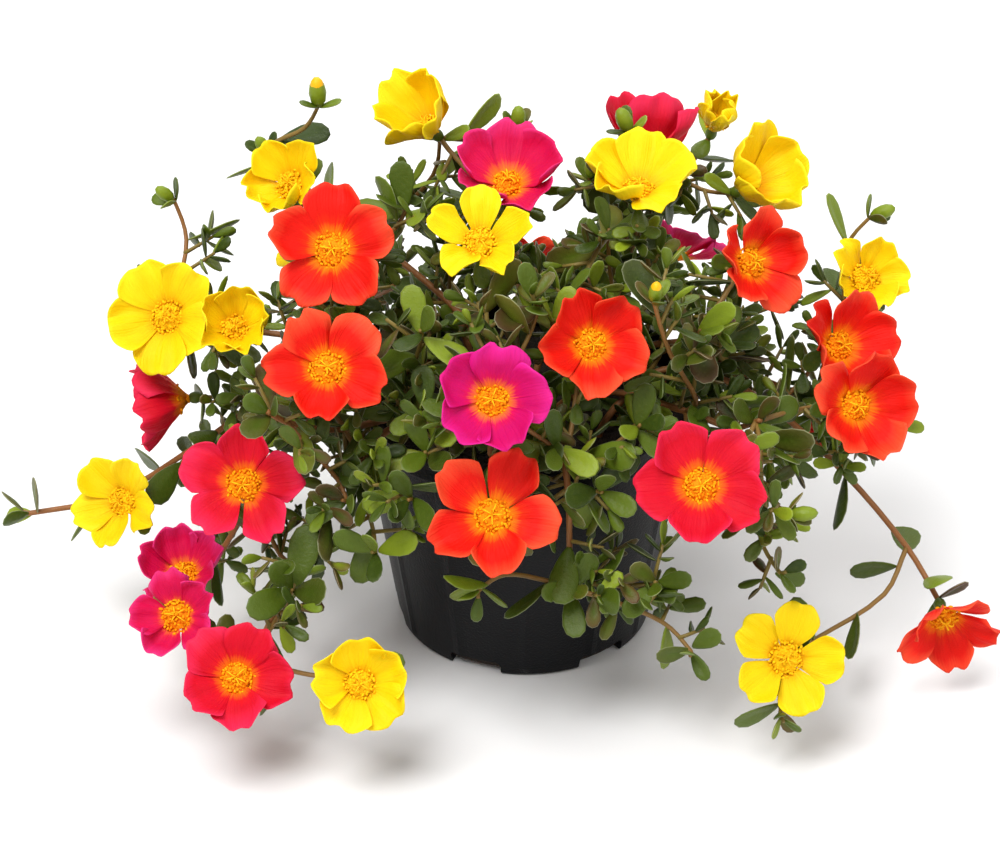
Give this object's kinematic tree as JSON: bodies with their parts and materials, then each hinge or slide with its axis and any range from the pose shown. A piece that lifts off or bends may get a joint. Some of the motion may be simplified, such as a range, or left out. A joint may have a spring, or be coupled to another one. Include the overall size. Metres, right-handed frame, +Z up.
{
  "type": "potted portulaca",
  "caption": "Spreading, trailing portulaca in bloom, with fleshy leaves and open five-petalled flowers, in a round tapered nursery pot.",
  "frame": {"origin": "centre of the pot's flat underside", "axes": "+Z up along the pot's axis, +X along the plant's width, -Y towards the side that the plant is shown from"},
  "size_m": [0.3474, 0.2597, 0.1989],
  "materials": {
    "pot": "satin",
    "soil": "matte",
    "leaf": "satin",
    "yellow_petal": "matte",
    "orange_petal": "matte",
    "red_petal": "matte",
    "pink_petal": "matte",
    "magenta_petal": "matte"
  },
  "bodies": {
    "root": {"bloom_magenta_middle": "magenta_petal", "bloom_orange_back": "orange_petal", "bloom_orange_left": "orange_petal", "bloom_orange_low_middle": "orange_petal", "bloom_orange_middle": "orange_petal", "bloom_orange_right_lower": "orange_petal", "bloom_orange_right_upper": "orange_petal", "bloom_orange_trailing": "orange_petal", "bloom_orange_upper_left": "orange_petal", "bloom_orange_upper_right": "orange_petal", "bloom_pink_back_right": "pink_petal", "bloom_pink_left_lower": "pink_petal", "bloom_pink_left_upper": "pink_petal", "bloom_pink_top": "pink_petal", "bloom_red_behind": "red_petal", "bloom_red_left": "red_petal", "bloom_red_low_left": "red_petal", "bloom_red_right": "red_petal", "bloom_red_right_back": "red_petal", "bloom_red_side": "red_petal", "bloom_yellow_back_left": "yellow_petal", "bloom_yellow_back_low": "yellow_petal", "bloom_yellow_bud_bloom": "yellow_petal", "bloom_yellow_far_left": "yellow_petal", "bloom_yellow_far_right": "yellow_petal", "bloom_yellow_left": "yellow_petal", "bloom_yellow_low_left": "yellow_petal", "bloom_yellow_low_middle": "yellow_petal", "bloom_yellow_low_right": "yellow_petal", "bloom_yellow_star": "yellow_petal", "bloom_yellow_top": "yellow_petal", "bloom_yellow_top_right": "yellow_petal", "bloom_yellow_upper_left": "yellow_petal", "bloom_yellow_upper_right": "yellow_petal", "pot": "pot", "soil": "soil", "stem_01": "leaf", "stem_02": "leaf", "stem_03": "leaf", "stem_04": "leaf", "stem_05": "leaf", "stem_06": "leaf", "stem_07": "leaf", "stem_08": "leaf", "stem_09": "leaf", "stem_10": "leaf", "stem_11": "leaf", "stem_12": "leaf", "stem_13": "leaf", "stem_14": "leaf", "stem_15": "leaf", "stem_16": "leaf", "stem_17": "leaf", "stem_18": "leaf"}
  },
  "joints": []
}
